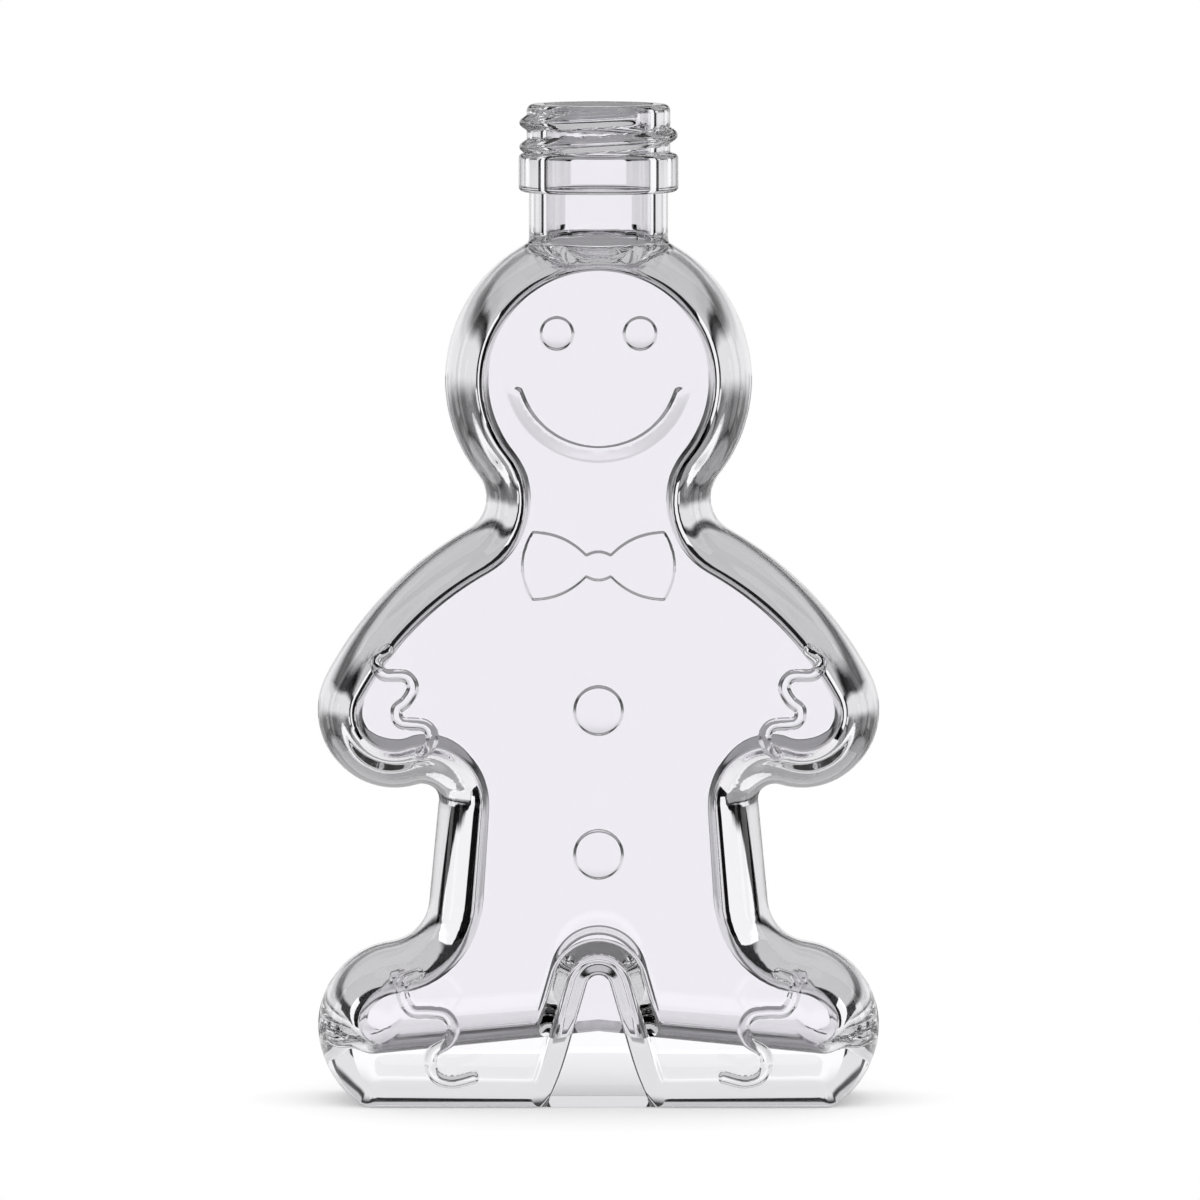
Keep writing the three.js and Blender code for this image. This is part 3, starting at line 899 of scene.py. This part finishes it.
def make_bottle():
    """Hollow glass bottle as one closed mesh, in millimetres."""
    outside = (0, 0, SOLE_CORNER, BORDER, 0, DEPTH / 2, CREASE, SOFT, RINGS)
    front = figure_half("front", True, *outside)
    for margin in RELIEF_MARGINS:
        refine(front, margin)
    raise_relief(front)
    bottle = closed(front, flip(figure_half("back", False, *outside)), "bottle_glass")
    arch_floor = DEPTH / 2 - ARCH_DEPTH
    press_arch(bottle, DEPTH / 2, arch_floor, 0, ARCH_SLOPE, ARCH_EASE)
    neck = turned("neck", neck_profile())
    raise_thread(neck)
    combine(bottle, neck, "UNION")
    inner_face = DEPTH / 2 - PANEL_WALL
    hollow_front = figure_half(
        "hollow", False, SIDE_WALL, BASE_WALL, HOLLOW_CORNER, HOLLOW_BORDER, FLOOR_RISE, inner_face,
        HOLLOW_CREASE, HOLLOW_SOFT, HOLLOW_RINGS,
    )
    hollow = closed(hollow_front, mirrored(hollow_front), "hollow")
    hollow_arch = (arch_floor - PANEL_WALL, HOLLOW_ARCH_GAP, HOLLOW_ARCH_SLOPE, HOLLOW_ARCH_EASE)
    press_arch(hollow, inner_face, *hollow_arch)
    combine(hollow, turned("bore", bore_profile()), "UNION")
    combine(bottle, hollow, "DIFFERENCE")
    return bottle


def neck_foot(co):
    """Test for places close to the foot of the neck, outside and in the hollow, in metres."""
    outer = neck_junction(NECK_RADIUS + NECK_FILLET, 0)
    inner = neck_junction(BORE_RADIUS, SIDE_WALL)
    return outer(co / MM) or inner(co / MM)


# The bottle in metres, smooth but for its crisp lines, on the fixed body in place of the plain one
bottle = make_bottle()
edit(bottle)
bpy.ops.mesh.select_all(action="SELECT")
bpy.ops.mesh.remove_doubles(threshold=MERGE)
bpy.ops.mesh.normals_make_consistent(inside=False)
bpy.ops.transform.resize(value=(MM, MM, MM), center_override=(0, 0, 0))
object_mode()
bpy.ops.object.shade_smooth_by_angle(angle=SHARP_TURN)
even_shading = bottle.modifiers.new("even_shading", "WEIGHTED_NORMAL")
even_shading.keep_sharp = True
bpy.ops.object.modifier_apply(modifier=even_shading.name)
calm_shading(bottle, neck_foot, CALM_REACH * MM)
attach(bottle, "root")
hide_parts("glass_bottle")


def linear(code):
    """Linear red, green and blue of an sRGB hex colour, with full alpha."""
    channels = [int(code[i:i + 2], 16) / 255 for i in (1, 3, 5)]
    return (*[c / 12.92 if c <= 0.04045 else ((c + 0.055) / 1.055) ** 2.4 for c in channels], 1)


def add_node(tree, kind, inputs=(), **settings):
    """Adds a node, sets its properties, and links or sets its inputs by name or number."""
    node = tree.nodes.new(kind)
    for name, value in settings.items():
        setattr(node, name, value)
    for name, value in dict(inputs).items():
        if isinstance(value, bpy.types.NodeSocket):
            tree.links.new(value, node.inputs[name])
        else:
            node.inputs[name].default_value = value
    return node


# Clear soda-lime glass, blown in a polished mould: bright and all but colourless, with a trace of lilac, and
# light and dark bands where its rounded borders bend the studio
glass = bpy.data.materials.new("clear_moulded_glass")
glass.use_nodes = True
shader = glass.node_tree.nodes["Principled BSDF"]
shader.inputs["Base Color"].default_value = linear("#fdfcff")
shader.inputs["Roughness"].default_value = 0.0
shader.inputs["IOR"].default_value = 1.52
shader.inputs["Transmission Weight"].default_value = 1.0
bottle.data.materials.clear()
bottle.data.materials.append(glass)

# White studio paper, matt: a strip under the bottle that takes its soft shadow
bpy.ops.object.select_all(action="DESELECT")
bpy.ops.mesh.primitive_plane_add(size=1)
floor = bpy.context.object
floor.name = "floor"
edit(floor)
bpy.ops.transform.resize(value=(PAPER_WIDTH, PAPER_BACK - PAPER_FRONT, 1))
bpy.ops.transform.translate(value=(0, (PAPER_BACK + PAPER_FRONT) / 2, -PAPER_DROP))
object_mode()
white = bpy.data.materials.new("white_studio_paper")
white.use_nodes = True
floor_shader = white.node_tree.nodes["Principled BSDF"]
floor_shader.inputs["Base Color"].default_value = linear("#f4f4f4")
floor_shader.inputs["Roughness"].default_value = 1.0
floor_shader.inputs["Specular IOR Level"].default_value = 0.0
floor_shader.inputs["Emission Color"].default_value = linear("#ffffff")
paper_path = add_node(white.node_tree, "ShaderNodeLightPath").outputs
glow = add_node(
    white.node_tree, "ShaderNodeMath", {0: paper_path["Is Camera Ray"], 1: PAPER_GLOW_SEEN, 2: PAPER_GLOW},
    operation="MULTIPLY_ADD",
).outputs[0]
white.node_tree.links.new(glow, floor_shader.inputs["Emission Strength"])
floor.data.materials.append(white)

# World: the cards to whatever looks through glass or along a reflection, and plain white to all else
world = bpy.data.worlds.new("studio")
bpy.context.scene.world = world
world.use_nodes = True
tree = world.node_tree
tree.nodes.clear()


def between(value, first, last, soft):
    """One where an angle lies between two bounds in degrees and none elsewhere, with soft edges."""
    middle = math.radians((first + last) / 2)
    half = (last - first) / 2
    offset = add_node(tree, "ShaderNodeMath", {0: value, 1: middle}, operation="SUBTRACT").outputs[0]
    away = add_node(tree, "ShaderNodeMath", {0: offset}, operation="ABSOLUTE").outputs[0]
    edge = {0: away, 1: math.radians(half - soft), 2: math.radians(half + soft), 3: 1.0, 4: 0.0}
    return add_node(tree, "ShaderNodeMapRange", edge, interpolation_type="SMOOTHSTEP").outputs[0]


direction = add_node(tree, "ShaderNodeTexCoord").outputs["Generated"]
split = add_node(tree, "ShaderNodeSeparateXYZ", {0: direction}).outputs
azimuth = add_node(tree, "ShaderNodeMath", {0: split["X"], 1: split["Y"]}, operation="ARCTAN2").outputs[0]
elevation = add_node(tree, "ShaderNodeMath", {0: split["Z"]}, operation="ARCSINE").outputs[0]
seen = 0.0
for left, right, bottom, top, level, soft_across, soft_up in CARDS:
    edges = {0: between(azimuth, left, right, soft_across), 1: between(elevation, bottom, top, soft_up)}
    card = add_node(tree, "ShaderNodeMath", edges, operation="MULTIPLY").outputs[0]
    levels = {0: card, 1: level, 2: seen}
    seen = add_node(tree, "ShaderNodeMath", levels, operation="MULTIPLY_ADD").outputs[0]
path = add_node(tree, "ShaderNodeLightPath").outputs
through = add_node(
    tree, "ShaderNodeMath", {0: path["Is Transmission Ray"], 1: path["Is Glossy Ray"]}, operation="MAXIMUM"
).outputs[0]
plain = add_node(tree, "ShaderNodeBackground", {"Color": linear("#ffffff"), "Strength": 1.0}).outputs[0]
studio = add_node(tree, "ShaderNodeBackground", {"Color": linear("#ffffff"), "Strength": seen}).outputs[0]
mixed = add_node(tree, "ShaderNodeMixShader", {0: through, 1: plain, 2: studio}).outputs[0]
add_node(tree, "ShaderNodeOutputWorld", {"Surface": mixed})

# Camera at the photo's angle
camera_data = bpy.data.cameras.new("camera")
camera = bpy.data.objects.new("camera", camera_data)
bpy.context.scene.collection.objects.link(camera)
bpy.context.scene.camera = camera
camera_data.lens = CAMERA_LENS
camera_data.clip_end = CAMERA_REACH
camera.location = CAMERA_PLACE
look = Vector(CAMERA_AIM) - Vector(CAMERA_PLACE)
camera.rotation_euler = look.to_track_quat("-Z", "Y").to_euler()

# Light paths long enough to pass through both walls of the glass and along it
settings = bpy.context.scene
settings.view_settings.view_transform = "Standard"
settings.cycles.max_bounces = 32
settings.cycles.transmission_bounces = 24
settings.cycles.glossy_bounces = 16
settings.cycles.diffuse_bounces = 3
settings.cycles.transparent_max_bounces = 8
